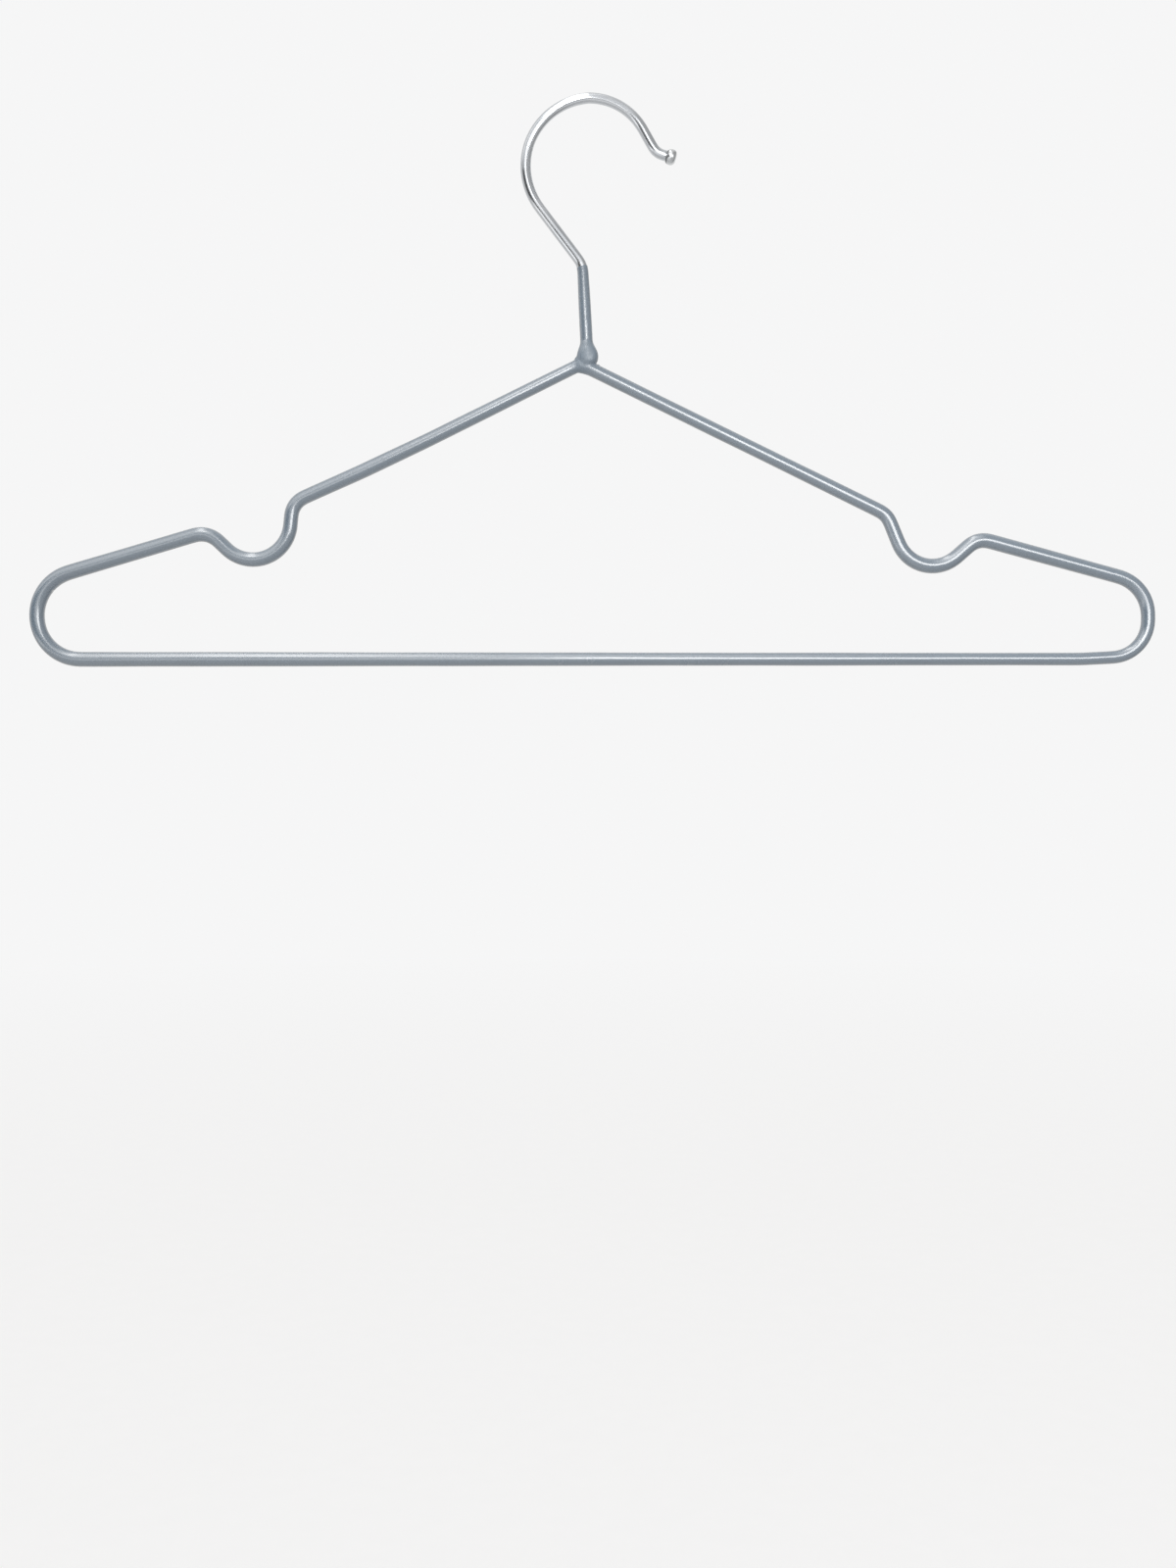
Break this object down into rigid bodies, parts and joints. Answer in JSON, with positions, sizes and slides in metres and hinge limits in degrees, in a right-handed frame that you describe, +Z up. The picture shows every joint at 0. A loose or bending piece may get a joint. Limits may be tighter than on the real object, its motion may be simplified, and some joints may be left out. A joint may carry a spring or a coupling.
{
  "type": "clothes hanger",
  "caption": "Coated wire hanger with strap notches, a straight trouser bar and a bare chromed hook; hangs by the hook and carries garments on its shoulders or folded over the bar.",
  "frame": {"origin": "underside of the hook's crown, where the hanger hangs on a rail", "axes": "+Z up, the hanger lies in the XZ plane, its front faces -Y, the hook opens towards +X"},
  "size_m": [0.4208, 0.0076, 0.2146],
  "materials": {
    "hook_chrome": "polished",
    "core_steel": "satin",
    "weld_metal": "matte",
    "coat_plastic": "gloss"
  },
  "bodies": {
    "root": {"hook_wire": "hook_chrome", "hook_tip_ball": "hook_chrome", "frame_wire": "core_steel", "apex_weld": "weld_metal", "pvc_coat": "coat_plastic"}
  },
  "joints": []
}
